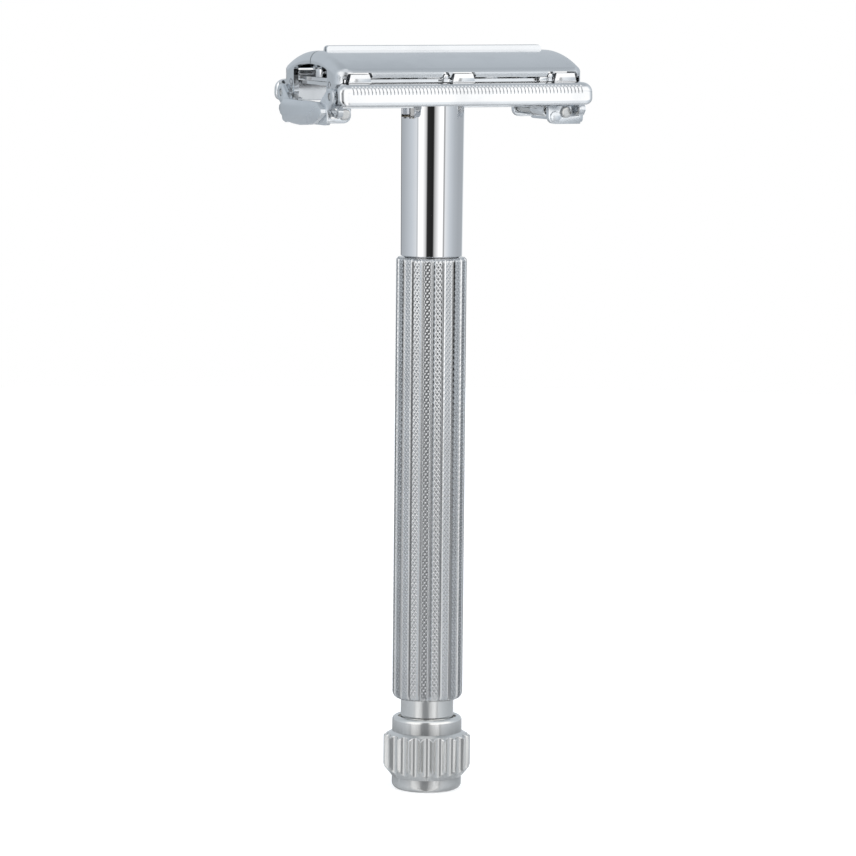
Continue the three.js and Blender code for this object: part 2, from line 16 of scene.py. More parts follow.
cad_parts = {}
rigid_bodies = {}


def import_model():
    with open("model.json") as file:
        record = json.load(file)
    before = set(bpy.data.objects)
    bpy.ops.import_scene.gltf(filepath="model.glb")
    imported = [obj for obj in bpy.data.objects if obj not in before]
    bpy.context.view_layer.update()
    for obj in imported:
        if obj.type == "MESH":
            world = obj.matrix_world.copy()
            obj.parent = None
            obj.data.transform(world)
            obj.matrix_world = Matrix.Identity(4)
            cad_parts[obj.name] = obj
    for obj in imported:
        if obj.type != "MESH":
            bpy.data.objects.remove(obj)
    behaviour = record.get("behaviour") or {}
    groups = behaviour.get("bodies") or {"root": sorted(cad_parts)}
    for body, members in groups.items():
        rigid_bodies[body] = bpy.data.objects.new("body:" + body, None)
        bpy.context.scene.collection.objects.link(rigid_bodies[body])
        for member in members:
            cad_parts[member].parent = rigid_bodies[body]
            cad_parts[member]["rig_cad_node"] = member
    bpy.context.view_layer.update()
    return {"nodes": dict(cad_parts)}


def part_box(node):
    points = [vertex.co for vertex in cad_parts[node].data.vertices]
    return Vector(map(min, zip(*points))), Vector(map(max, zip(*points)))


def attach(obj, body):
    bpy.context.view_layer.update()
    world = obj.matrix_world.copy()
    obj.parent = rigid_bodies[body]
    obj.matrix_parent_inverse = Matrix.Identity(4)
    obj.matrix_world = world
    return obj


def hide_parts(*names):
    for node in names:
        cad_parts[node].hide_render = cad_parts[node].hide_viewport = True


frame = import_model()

MM = 0.001
LOG = logging.getLogger("razor")

Point = tuple[float, float]
Colour = tuple[float, float, float]
Piece = bpy.types.Object
Socket = bpy.types.NodeSocket


class Axis(Enum):
    """The axis that an outline is pushed along, with the axes that its two numbers lie on."""

    X = (1, 2, 0)
    Y = (0, 2, 1)
    Z = (0, 1, 2)


# ---------------------------------------------------------------- mesh tools


@dataclass(frozen=True)
class NodeBox:
    """The rest box of a CAD node, in metres."""

    low: Vector
    high: Vector

    @classmethod
    def of(cls, node: str) -> "NodeBox":
        """Reads the box of a CAD node.

        Args:
            node: The node's name.

        Returns:
            Its box at rest.
        """
        low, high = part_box(node)
        return cls(low, high)

    @property
    def size(self) -> Vector:
        """The box's length along each axis."""
        return self.high - self.low

    @property
    def centre(self) -> Vector:
        """The middle of the box."""
        return (self.high + self.low) / 2


class Shape:
    """Builders of closed meshes, all in metres and in the row frame."""

    @staticmethod
    def tube_grid(name: str, grid: np.ndarray, caps: bool) -> Piece:
        """Skins rows of closed rings, with or without a flat cap on each end.

        Args:
            name: The piece's name.
            grid: Points as rings by points by three, each ring closed on itself.
            caps: Whether the first and last rings are capped. Otherwise the rings close on themselves.

        Returns:
            The closed object.
        """
        rings, around = grid.shape[:2]
        index = np.arange(rings * around).reshape(rings, around)
        above = np.roll(index, -1, axis=0)
        quads = np.stack([index, np.roll(index, -1, axis=1), np.roll(above, -1, axis=1), above], axis=-1)
        faces = (quads[:-1] if caps else quads).reshape(-1, 4).tolist()
        if caps:
            faces += [index[0][::-1].tolist(), index[-1].tolist()]
        mesh = bpy.data.meshes.new(name)
        mesh.from_pydata(grid.reshape(-1, 3).tolist(), [], faces)
        mesh.update()
        with Work.opened(mesh) as work:
            bmesh.ops.recalc_face_normals(work, faces=work.faces)
            if work.calc_volume(signed=True) < 0:
                bmesh.ops.reverse_faces(work, faces=work.faces)
        return Work.linked(name, mesh)

    @staticmethod
    def polar(radius: np.ndarray, angles: np.ndarray, z: np.ndarray) -> np.ndarray:
        """Places rings of points round the Z axis.

        Args:
            radius: The radius at each ring and angle.
            angles: The angles round the axis.
            z: Each ring's height.

        Returns:
            The points, as rings by points by three.
        """
        height = np.broadcast_to(z[:, None], radius.shape)
        return np.stack([radius * np.cos(angles), radius * np.sin(angles), height], axis=-1)

    @staticmethod
    def turned(name: str, profile: Sequence[Point], around: int = 96) -> Piece:
        """Turns a closed loop of (radius, z) points about the Z axis.

        Args:
            name: The piece's name.
            profile: The loop, off the axis all the way, or starting and ending on it.
            around: Steps round the axis.

        Returns:
            The closed object.
        """
        loop = np.array(profile, float)
        angles = np.linspace(0, 2 * math.pi, around, endpoint=False)
        on_axis = loop[0, 0] < 1e-9
        body = loop[1:-1] if on_axis else loop
        grid = Shape.polar(np.repeat(body[:, :1], around, axis=1), angles, body[:, 1])
        return Shape.tube_grid(name, grid, caps=on_axis)

    @staticmethod
    def prism(name: str, outline: Sequence[Point], axis: Axis, start: float, end: float) -> Piece:
        """Pushes an outline along an axis.

        Args:
            name: The piece's name.
            outline: A closed outline, on the axis's two cross axes.
            axis: The axis to push along.
            start: Where the prism starts on it.
            end: Where it ends.

        Returns:
            The closed object.
        """
        first, second, along = axis.value
        flat = np.array(outline, float)
        grid = np.empty((2, len(flat), 3))
        for row, station in enumerate((start, end)):
            grid[row, :, first] = flat[:, 0]
            grid[row, :, second] = flat[:, 1]
            grid[row, :, along] = station
        return Shape.tube_grid(name, grid, caps=True)

    @staticmethod
    def rod(name: str, radius: float, axis: Axis, start: float, end: float, at: Point, edge: float = 0.0,
            around: int = 32) -> Piece:
        """A round bar with an eased edge at each end.

        Args:
            name: The piece's name.
            radius: The bar's radius.
            axis: The axis it lies along.
            start: Where it starts.
            end: Where it ends.
            at: Its centre on the two cross axes.
            edge: How far each end is eased.
            around: Steps round it.

        Returns:
            The closed object.
        """
        first, second, along = axis.value
        angles = np.linspace(0, 2 * math.pi, around, endpoint=False)
        if edge > 0:
            bends = np.linspace(0, math.pi / 2, 4)
            rise = edge * (1 - np.cos(bends))
            inset = edge * (1 - np.sin(bends))
            stations = np.concatenate([start + rise, end - rise[::-1]])
            radii = np.concatenate([radius - inset, radius - inset[::-1]])
        else:
            stations, radii = np.array([start, end]), np.array([radius, radius])
        grid = np.empty((len(stations), around, 3))
        grid[..., first] = at[0] + radii[:, None] * np.cos(angles)
        grid[..., second] = at[1] + radii[:, None] * np.sin(angles)
        grid[..., along] = stations[:, None]
        return Shape.tube_grid(name, grid, caps=True)

    @staticmethod
    def arc(centre: Point, radius: float, start: float, end: float, steps: int) -> list[Point]:
        """Points along an arc.

        Args:
            centre: The arc's centre.
            radius: Its radius.
            start: The first angle, in radians.
            end: The last angle.
            steps: How many steps lie between them.

        Returns:
            The points, both ends included.
        """
        angles = np.linspace(start, end, steps + 1)
        return [(centre[0] + radius * math.cos(a), centre[1] + radius * math.sin(a)) for a in angles]

    @staticmethod
    def rectangle(low: Point, high: Point) -> list[Point]:
        """The outline of a rectangle.

        Args:
            low: The lowest corner.
            high: The highest corner.

        Returns:
            The outline, anticlockwise.
        """
        return [low, (high[0], low[1]), high, (low[0], high[1])]

    @staticmethod
    def rounded_rectangle(low: Point, high: Point, radius: float) -> list[Point]:
        """The outline of a rectangle with round corners.

        Args:
            low: The lowest corner.
            high: The highest corner.
            radius: The corners' radius.

        Returns:
            The outline, anticlockwise.
        """
        quarter = math.pi / 2
        corners = ((low[0], low[1], 2), (high[0], low[1], 3), (high[0], high[1], 0), (low[0], high[1], 1))
        outline: list[Point] = []
        for u, v, turn in corners:
            inward = (radius if turn in (1, 2) else -radius, radius if turn in (2, 3) else -radius)
            centre = (u + inward[0], v + inward[1])
            outline += Shape.arc(centre, radius, turn * quarter, (turn + 1) * quarter, 6)
        return outline

    @staticmethod
    def band(path: np.ndarray, half_width: float) -> list[Point]:
        """The outline of a band of constant width along a path, with round ends.

        Args:
            path: Points along the middle of the band.
            half_width: Half the band's width.

        Returns:
            The closed outline.
        """
        lean = np.gradient(path, axis=0)
        heading = np.arctan2(lean[:, 1], lean[:, 0])
        quarter = math.pi / 2
        right, left = (path + half_width * np.stack([np.cos(side), np.sin(side)], axis=1)
                       for side in (heading - quarter, heading + quarter))
        far = Shape.arc(tuple(path[-1]), half_width, heading[-1] - quarter, heading[-1] + quarter, 10)
        near = Shape.arc(tuple(path[0]), half_width, heading[0] + quarter, heading[0] + 3 * quarter, 10)
        return [*map(tuple, right[:-1]), *far, *map(tuple, left[::-1][1:-1]), *near[:-1]]


class Work:
    """Changes to meshes, each one applied at once."""

    @staticmethod
    def linked(name: str, mesh: bpy.types.Mesh) -> Piece:
        """Makes an object of a mesh and links it to the scene.

        Args:
            name: The object's name.
            mesh: Its mesh.

        Returns:
            The new object.
        """
        obj = bpy.data.objects.new(name, mesh)
        bpy.context.scene.collection.objects.link(obj)
        return obj

    @staticmethod
    @contextmanager
    def opened(mesh: bpy.types.Mesh) -> Iterator[bmesh.types.BMesh]:
        """Opens a mesh for changes, and writes them back at the end.

        Args:
            mesh: The mesh.

        Yields:
            The mesh in a form that bmesh can change.
        """
        work = bmesh.new()
        work.from_mesh(mesh)
        yield work
        work.to_mesh(mesh)
        work.free()

    @staticmethod
    def apply(obj: Piece) -> None:
        """Bakes an object's modifiers into its mesh.

        Args:
            obj: The object.
        """
        bpy.context.view_layer.update()
        evaluated = obj.evaluated_get(bpy.context.evaluated_depsgraph_get())
        mesh = bpy.data.meshes.new_from_object(evaluated)
        obj.modifiers.clear()
        obj.data = mesh

    @staticmethod
    def combine(obj: Piece, tools: Iterable[Piece], operation: str) -> Piece:
        """Joins or cuts an object with others, which are used up.

        Args:
            obj: The object that stays.
            tools: The others.
            operation: UNION, DIFFERENCE or INTERSECT.

        Returns:
            The object.
        """
        for tool in tools:
            step = obj.modifiers.new("combine", "BOOLEAN")
            step.operation = operation
            step.solver = "EXACT"
            step.object = tool
            Work.apply(obj)
            bpy.data.objects.remove(tool)
        return obj

    @staticmethod
    def ease(obj: Piece, width: float) -> None:
        """Rounds the edges of a piece where two faces bend by 35 degrees or more.

        Args:
            obj: The piece.
            width: How wide the rounding is.
        """
        step = obj.modifiers.new("ease", "BEVEL")
        step.width = width
        step.segments = 2
        step.limit_method = "ANGLE"
        step.angle_limit = math.radians(35)
        step.harden_normals = False
        Work.apply(obj)

    @staticmethod
    def smooth(obj: Piece, angle: float) -> None:
        """Shades a piece smooth, apart from edges that bend more than an angle.

        Args:
            obj: The piece.
            angle: The least bend, in degrees, that stays crisp.
        """
        obj.data.polygons.foreach_set("use_smooth", [True] * len(obj.data.polygons))
        obj.data.set_sharp_from_angle(angle=math.radians(angle))
        obj.data.update()

    @staticmethod
    def refine(node: str, edge: float, name: str = "") -> Piece:
        """A copy of a CAD node with flat faces merged and its sharp edges rounded.

        Args:
            node: The CAD node.
            edge: How wide the rounding is.
            name: The new piece's name, if it isn't the node's with _look after it.

        Returns:
            The new piece.
        """
        name = name or f"{node}_look"
        mesh = frame["nodes"][node].data.copy()
        mesh.name = name
        mesh.materials.clear()
        with Work.opened(mesh) as work:
            bmesh.ops.remove_doubles(work, verts=work.verts, dist=0.002 * MM)
            bmesh.ops.dissolve_limit(work, angle_limit=math.radians(1), verts=work.verts, edges=work.edges)
        obj = Work.linked(name, mesh)
        if edge > 0:
            Work.ease(obj, edge)
        return obj


# ---------------------------------------------------------------- finishes


class NodeKit:
    """Short ways to wire a node tree."""

    def __init__(self, tree: bpy.types.NodeTree) -> None:
        """Keeps the tree.

        Args:
            tree: The tree to add nodes to.
        """
        self.tree = tree

    def add(self, kind: str, **values: object) -> bpy.types.Node:
        """Adds a node and sets its properties and its input sockets.

        Args:
            kind: The node's type.
            **values: A property's name and value, or in_NAME for an input socket.

        Returns:
            The node.
        """
        node = self.tree.nodes.new(kind)
        for key, value in values.items():
            if key.startswith("in_"):
                self.fill(node, **{key[3:]: value})
            else:
                setattr(node, key, value)
        return node

    @staticmethod
    def fill(node: bpy.types.Node, **values: object) -> None:
        """Sets input sockets.

        Args:
            node: The node.
            **values: A socket's name, with _ for a space, and its value.
        """
        for name, value in values.items():
            node.inputs[name.replace("_", " ")].default_value = value

    def link(self, source: Socket, target: Socket) -> None:
        """Links two sockets."""
        self.tree.links.new(source, target)

    def math(self, operation: str, *terms: object) -> Socket:
        """A math node on numbers or sockets.

        Args:
            operation: The node's operation.
            *terms: A socket or a number for each of its inputs.

        Returns:
            The result's socket.
        """
        node = self.tree.nodes.new("ShaderNodeMath")
        node.operation = operation
        for slot, value in zip(node.inputs, terms):
            if isinstance(value, Socket):
                self.link(value, slot)
            else:
                slot.default_value = value
        return node.outputs[0]


class Effects:
    """Shader node groups that several finishes share."""

    @staticmethod
    def _group(name: str, *outputs: str) -> tuple[NodeKit, bpy.types.Node]:
        """Starts a node group that puts out numbers.

        Args:
            name: The group's name.
            *outputs: The outputs' names.

        Returns:
            The tree's kit and its output node.
        """
        tree = bpy.data.node_groups.new(name, "ShaderNodeTree")
        for title in outputs:
            tree.interface.new_socket(title, in_out="OUTPUT", socket_type="NodeSocketFloat")
        kit = NodeKit(tree)
        return kit, kit.add("NodeGroupOutput")

    @staticmethod
    @cache
    def handling() -> bpy.types.NodeTree:
        """Faint smears and hairline scratches of a plated surface.

        Returns:
            A group that puts out a smear mask and a scratch height.
        """
        kit, end = Effects._group("handling", "Smear", "Hair")
        place = kit.add("ShaderNodeTexCoord")
        smear = kit.add("ShaderNodeTexNoise", in_Scale=120.0, in_Detail=3.0, in_Roughness=0.55)
        kit.link(place.outputs["Object"], smear.inputs["Vector"])
        shaped = kit.add("ShaderNodeMapRange", in_From_Min=0.42, in_From_Max=0.7)
        kit.link(smear.outputs["Fac"], shaped.inputs["Value"])
        kit.link(shaped.outputs["Result"], end.inputs["Smear"])
        stretch = kit.add("ShaderNodeMapping", in_Scale=(1.0, 1.0, 0.08), in_Rotation=(0.35, 0.6, 0.2))
        kit.link(place.outputs["Object"], stretch.inputs["Vector"])
        hair = kit.add("ShaderNodeTexNoise", in_Scale=900.0, in_Detail=5.0, in_Roughness=0.75)
        kit.link(stretch.outputs["Vector"], hair.inputs["Vector"])
        kit.link(hair.outputs["Fac"], end.inputs["Hair"])
        return kit.tree

    @staticmethod
    @cache
    def lathe_marks() -> bpy.types.NodeTree:
        """Fine rings left by a lathe tool on a body turned about Z.

        Returns:
            A group that puts out the height of the rings and a mask of uneven sheen.
        """
        kit, end = Effects._group("lathe_marks", "Height", "Sheen")
        place = kit.add("ShaderNodeTexCoord")
        flat = kit.add("ShaderNodeMapping", in_Scale=(0.02, 0.02, 1.0))
        kit.link(place.outputs["Object"], flat.inputs["Vector"])
        rings = kit.add("ShaderNodeTexNoise", in_Scale=9000.0, in_Detail=6.0, in_Roughness=0.7)
        kit.link(flat.outputs["Vector"], rings.inputs["Vector"])
        kit.link(rings.outputs["Fac"], end.inputs["Height"])
        broad = kit.add("ShaderNodeTexNoise", in_Scale=1080.0, in_Detail=2.0)
        kit.link(flat.outputs["Vector"], broad.inputs["Vector"])
        kit.link(broad.outputs["Fac"], end.inputs["Sheen"])
        return kit.tree

    @staticmethod
    @cache
    def hollow_shade() -> bpy.types.NodeTree:
        """Painted shade: darkening in hollows, wherever the surface is concave.

        Returns:
            A group that puts out a mask of painted shade that is 1 in hollows.
        """
        kit, end = Effects._group("hollow_shade", "Mask")
        shape = kit.add("ShaderNodeNewGeometry")
        span = kit.add("ShaderNodeMapRange", in_From_Min=0.44, in_From_Max=0.5, in_To_Min=1.0, in_To_Max=0.0)
        kit.link(shape.outputs["Pointiness"], span.inputs["Value"])
        kit.link(span.outputs["Result"], end.inputs["Mask"])
        return kit.tree


@dataclass(frozen=True)
class Finish:
    """A bare or plated metal surface."""

    name: str
    slot: str
    colour: Colour
    # hollow: the colour that painted shade in hollows darkens towards, and also the tint of the real smears
    hollow: Colour
    roughness: float
    smear: float
    scratch: float
    rings: float = 0.0
    # strength of the painted shade in hollows
    hollow_shade: float = 0.0
    smear_tint: float = 0.14

    @cache
    def material(self) -> bpy.types.Material:
        """The finish as a material, made the first time it is asked for.

        Returns:
            The material.
        """
        made = bpy.data.materials.new(self.name)
        made.use_nodes = True
        kit = NodeKit(made.node_tree)
        surface = made.node_tree.nodes["Principled BSDF"]
        kit.fill(surface, Metallic=1.0)
        wear = kit.add("ShaderNodeGroup", node_tree=Effects.handling())
        # Painted shade: the base colour darkens towards the hollow colour where the hollow mask is high; the real
        # smears darken it the same way.
        hollows = kit.add("ShaderNodeGroup", node_tree=Effects.hollow_shade())
        shade = kit.add("ShaderNodeMix", data_type="RGBA", in_A=(*self.colour, 1.0), in_B=(*self.hollow, 1.0))
        tint = kit.math("MULTIPLY", hollows.outputs["Mask"], self.hollow_shade)
        dull = kit.math("MULTIPLY", wear.outputs["Smear"], self.smear_tint)
        kit.link(kit.math("MAXIMUM", tint, dull), shade.inputs["Factor"])
        kit.link(shade.outputs["Result"], surface.inputs["Base Color"])
        spread = kit.math("MULTIPLY_ADD", wear.outputs["Smear"], self.smear, self.roughness)
        height = kit.math("MULTIPLY", wear.outputs["Hair"], self.scratch)
        if self.rings > 0:
            lathe = kit.add("ShaderNodeGroup", node_tree=Effects.lathe_marks())
            height = kit.math("ADD", height, kit.math("MULTIPLY", lathe.outputs["Height"], self.rings))
            spread = kit.math("ADD", spread, kit.math("MULTIPLY", lathe.outputs["Sheen"], self.smear))
        kit.link(spread, surface.inputs["Roughness"])
        bump = kit.add("ShaderNodeBump", in_Strength=1.0, in_Distance=1.0)
        kit.link(height, bump.inputs["Height"])
        kit.link(bump.outputs["Normal"], surface.inputs["Normal"])
        return made

    def dress(self, obj: Piece) -> None:
        """Puts the finish on a piece.

        Args:
            obj: The piece.
        """
        obj.data.materials.clear()
        obj.data.materials.append(self.material())


# Each finish's second colour is painted shade in its hollows, and also the tint of its real smears.
MIRROR = Finish("mirror_plate", "mirror_chrome", (0.83, 0.83, 0.84), (0.70, 0.71, 0.73), 0.02, 0.04, 1.5e-7)
HEAD = Finish("head_plate", "head_chrome", (0.91, 0.92, 0.93), (0.25, 0.26, 0.28), 0.07, 0.08, 4e-7, hollow_shade=0.5)
DOOR = Finish("door_plate", "door_chrome", (0.80, 0.82, 0.84), (0.45, 0.47, 0.50), 0.13, 0.10, 6e-7, hollow_shade=0.3)
BRACKET = Finish("bracket_plate", "bracket_chrome", (0.80, 0.83, 0.86), (0.35, 0.37, 0.40), 0.20, 0.10, 1e-6,
                 hollow_shade=0.4)
KNURL = Finish("knurled_plate", "knurled_chrome", (0.78, 0.79, 0.80), (0.18, 0.18, 0.18), 0.10, 0.16, 4e-6,
               hollow_shade=0.8)
TURNED = Finish("turned_plate", "turned_chrome", (0.84, 0.84, 0.83), (0.22, 0.22, 0.22), 0.10, 0.08, 8e-7,
                rings=1.6e-6, hollow_shade=0.6)
STEEL = Finish("bright_steel", "steel_hardware", (0.72, 0.72, 0.71), (0.20, 0.20, 0.20), 0.20, 0.10, 8e-7)
BRASS = Finish("plain_brass", "brass_fittings", (0.72, 0.56, 0.29), (0.30, 0.22, 0.10), 0.25, 0.10, 8e-7,
               rings=2e-6)


# ---------------------------------------------------------------- handle and grip


def place(obj: Piece, body: str, finish: Finish, nodes: Sequence[str] = (), crease: float = 30) -> None:
    """Shades and dresses a piece, hangs it on its body and hides the CAD nodes that it stands for.

    Args:
        obj: The piece.
        body: The CAD body it moves with.
        finish: Its finish.
        nodes: The CAD nodes it replaces.
        crease: The least bend between two faces, in degrees, that stays crisp.
    """
    Work.smooth(obj, crease)
    finish.dress(obj)
    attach(obj, body)
    if nodes:
        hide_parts(*nodes)
    LOG.info("%s: %d faces on %s", obj.name, len(obj.data.polygons), body)


@dataclass
class Handle:
    """The tube: mirror neck, hidden core and turned stem."""

    tube: NodeBox = field(default_factory=lambda: NodeBox.of("handle_tube"))
    grip: NodeBox = field(default_factory=lambda: NodeBox.of("grip_sleeve"))
    bar: NodeBox = field(default_factory=lambda: NodeBox.of("cross_bar"))
    neck_foot: float = 4.75 * MM
    stem_radius: float = 4.05 * MM
    bore: float = 3.1 * MM
    slot_play: float = 0.1 * MM
    split: float = 0.2 * MM
    edge: float = 0.15 * MM
    taper_stop: float = 3 * MM
    skin_gap: float = 0.01 * MM
    skin_reach: float = 0.03 * MM
    skin_start: float = 0.5 * MM
    skin_overlap: float = 1 * MM

    def build(self) -> None:
        """Makes the tube, forked at its top for the cross bar, and the turned skin of its stem."""
        top, foot, stem, edge = self.tube.high.z, self.tube.low.z, self.stem_radius, self.edge
        neck = self.tube.size.x / 2
        shoulder = self.grip.high.z + self.split
        profile = [(self.bore, foot), (stem - edge, foot), (stem, foot + edge), (stem, shoulder - edge),
                   (self.neck_foot - edge, shoulder), (self.neck_foot, shoulder + edge),
                   (neck, top - self.taper_stop), (neck, top), (self.bore, top)]
        tube = Shape.turned("handle_tube_look", profile, 160)
        half = self.bar.size.y / 2 + self.slot_play
        fork = Shape.rectangle((-half, self.bar.low.z - self.slot_play), (half, top + MM))
        Work.combine(tube, [Shape.prism("slot", fork, Axis.X, -2 * neck, 2 * neck)], "DIFFERENCE")
        place(tube, "handle", MIRROR, ["handle_tube"])
        skin = Shape.rectangle((stem + self.skin_gap, foot + self.skin_start),
                               (stem + self.skin_reach, self.grip.low.z + self.skin_overlap))
        place(Shape.turned("stem_skin", skin, 128), "handle", TURNED)


@dataclass
class Grip:
    """The sleeve: smooth lengthwise flutes between bands of diamond knurl."""

    box: NodeBox = field(default_factory=lambda: NodeBox.of("grip_sleeve"))
    radius: float = 5.43 * MM
    flutes: int = 20
    phase: float = math.radians(13.4)
    flute_share: float = 0.30
    flute_depth: float = 0.26 * MM
    knurl_depth: float = 0.14 * MM
    knurls_per_turn: int = 60
    knurl_rows: int = 76
    bore: float = 4.2 * MM
    end_radius: float = 1.1 * MM
    top_edge: float = 0.3 * MM
    knurl_fade: float = 0.05
    knurl_crest: float = 0.35
    steps_per_flute: int = 12
    steps_per_knurl: int = 4

    def _envelope(self, z: np.ndarray) -> np.ndarray:
        """The sleeve's outer radius before the flutes and knurl are cut.

        Args:
            z: Heights.

        Returns:
            The radius at each height.
        """
        low, high = self.box.low.z, self.box.high.z
        foot = np.clip((low + self.end_radius - z) / self.end_radius, 0, 1)
        head = np.clip((z - high + self.top_edge) / self.top_edge, 0, 1)
        return self.radius - self.end_radius * (1 - np.sqrt(1 - foot**2)) - self.top_edge * head

    def build(self) -> None:
        """Makes the sleeve with its knurl cut into the mesh."""
        low, high = self.box.low.z, self.box.high.z
        eased = np.linspace(0, 1, 10)[:-1] ** 2 * self.end_radius
        start, end = low + self.end_radius, high - self.top_edge
        rows = self.knurl_rows * self.steps_per_knurl + 1
        z = np.concatenate([low + eased, np.linspace(start, end, rows), [high]])
        share = np.linspace(0, 1, self.steps_per_flute, endpoint=False)
        angles = (np.arange(self.flutes)[:, None] + share).ravel() * 2 * math.pi / self.flutes
        across = np.abs((np.tile(share, self.flutes) + 0.5) % 1 - 0.5)
        half = self.flute_share / 2
        hollow = np.clip(1 - (across / half) ** 2, 0, 1)
        knurled = np.clip((across - half) / self.knurl_fade, 0, 1)
        turn = angles * self.knurls_per_turn / (2 * math.pi)
        climb = (z[:, None] - start) * self.knurl_rows / (end - start)
        slopes = [np.abs((turn + sign * climb) % 1 - 0.5) * 2 for sign in (1, -1)]
        groove = np.maximum(np.maximum(*slopes) - self.knurl_crest, 0) / (1 - self.knurl_crest)
        radius = self._envelope(z)[:, None] - self.flute_depth * hollow - self.knurl_depth * knurled * groove
        radius = np.concatenate([radius, np.full((2, len(angles)), self.bore)])
        grid = Shape.polar(radius, angles + self.phase, np.concatenate([z, [high, low]]))
        sleeve = Shape.tube_grid("grip_look", grid, caps=False)
        place(sleeve, "handle", KNURL, ["grip_sleeve"], crease=50)


@dataclass
class Knob:
    """The knob: two plain collars with a band of concave flutes between them."""

    box: NodeBox = field(default_factory=lambda: NodeBox.of("knob_body"))
    flutes: int = 21
    phase: float = math.radians(4.0)
    rib_radius: float = 6.75 * MM
    collar_radius: float = 5.4 * MM
    rib_bottom: float = 2.0 * MM
    rib_top: float = 9.1 * MM
    flute_radius: float = 0.92 * MM
    flute_reach: float = 6.88 * MM
    foot_edge: float = 1.0 * MM
    mouth_edge: float = 0.7 * MM
    lower_slope: float = 1.2
    upper_slope: float = 0.6
    mouth: float = 4.5 * MM
    mouth_lip: float = 0.2 * MM
    seat: float = 7.0 * MM
    thread: float = 3.0 * MM
    cap_radius: float = 3.72 * MM
    cap_top: float = 1.3 * MM
    steps_per_flute: int = 16

    def _outer(self) -> list[Point]:
        """The outer profile from the foot to the mouth, as (radius, z)."""
        edge, crown, collar = self.foot_edge, self.mouth_edge, self.collar_radius
        chamfer = self.rib_radius - collar
        foot = Shape.arc((collar - edge, edge), edge, -math.pi / 2, 0, 8)
        head = Shape.arc((collar - crown, self.box.high.z - crown), crown, 0, math.pi / 2, 8)
        lower = ((self.rib_bottom, collar), (self.rib_bottom + self.lower_slope * chamfer, self.rib_radius), 26)
        upper = ((self.rib_top - self.upper_slope * chamfer, self.rib_radius), (self.rib_top, collar), 22)
        slopes = [(float(np.interp(z, (start[0], end[0]), (start[1], end[1]))), float(z))
                  for start, end, steps in (lower, upper) for z in np.linspace(start[0], end[0], steps)]
        return foot + slopes + head

    def build(self) -> None:
        """Makes the knob's skin and bores as one closed mesh."""
        share = np.linspace(0, 1, self.steps_per_flute, endpoint=False)
        pitch = 2 * math.pi / self.flutes
        angles = (np.arange(self.flutes)[:, None] + share).ravel() * pitch
        off = (np.tile(share, self.flutes) + 0.5) % 1 * pitch - pitch / 2
        reach = self.flute_reach
        inside = self.flute_radius**2 - (reach * np.sin(off)) ** 2
        wall = np.where(inside > 0, reach * np.cos(off) - np.sqrt(np.maximum(inside, 0)), self.rib_radius)
        outer = np.array(self._outer())
        ribbed = (outer[:, 1] > self.rib_bottom) & (outer[:, 1] < self.rib_top)
        radius = np.where(ribbed[:, None], np.minimum(outer[:, :1], wall), outer[:, :1])
        bore = np.array([(self.mouth, self.box.high.z - self.mouth_lip), (self.mouth, self.seat),
                         (self.thread, self.seat), (self.thread, self.cap_top), (self.cap_radius, self.cap_top),
                         (self.cap_radius, 0.0)])
        radius = np.concatenate([radius, np.repeat(bore[:, :1], len(angles), axis=1)])
        grid = Shape.polar(radius, angles + self.phase, np.concatenate([outer[:, 1], bore[:, 1]]))
        knob = Shape.tube_grid("knob_look", grid, caps=False)
        place(knob, "knob", TURNED, ["knob_body"], crease=32)


# ---------------------------------------------------------------- head


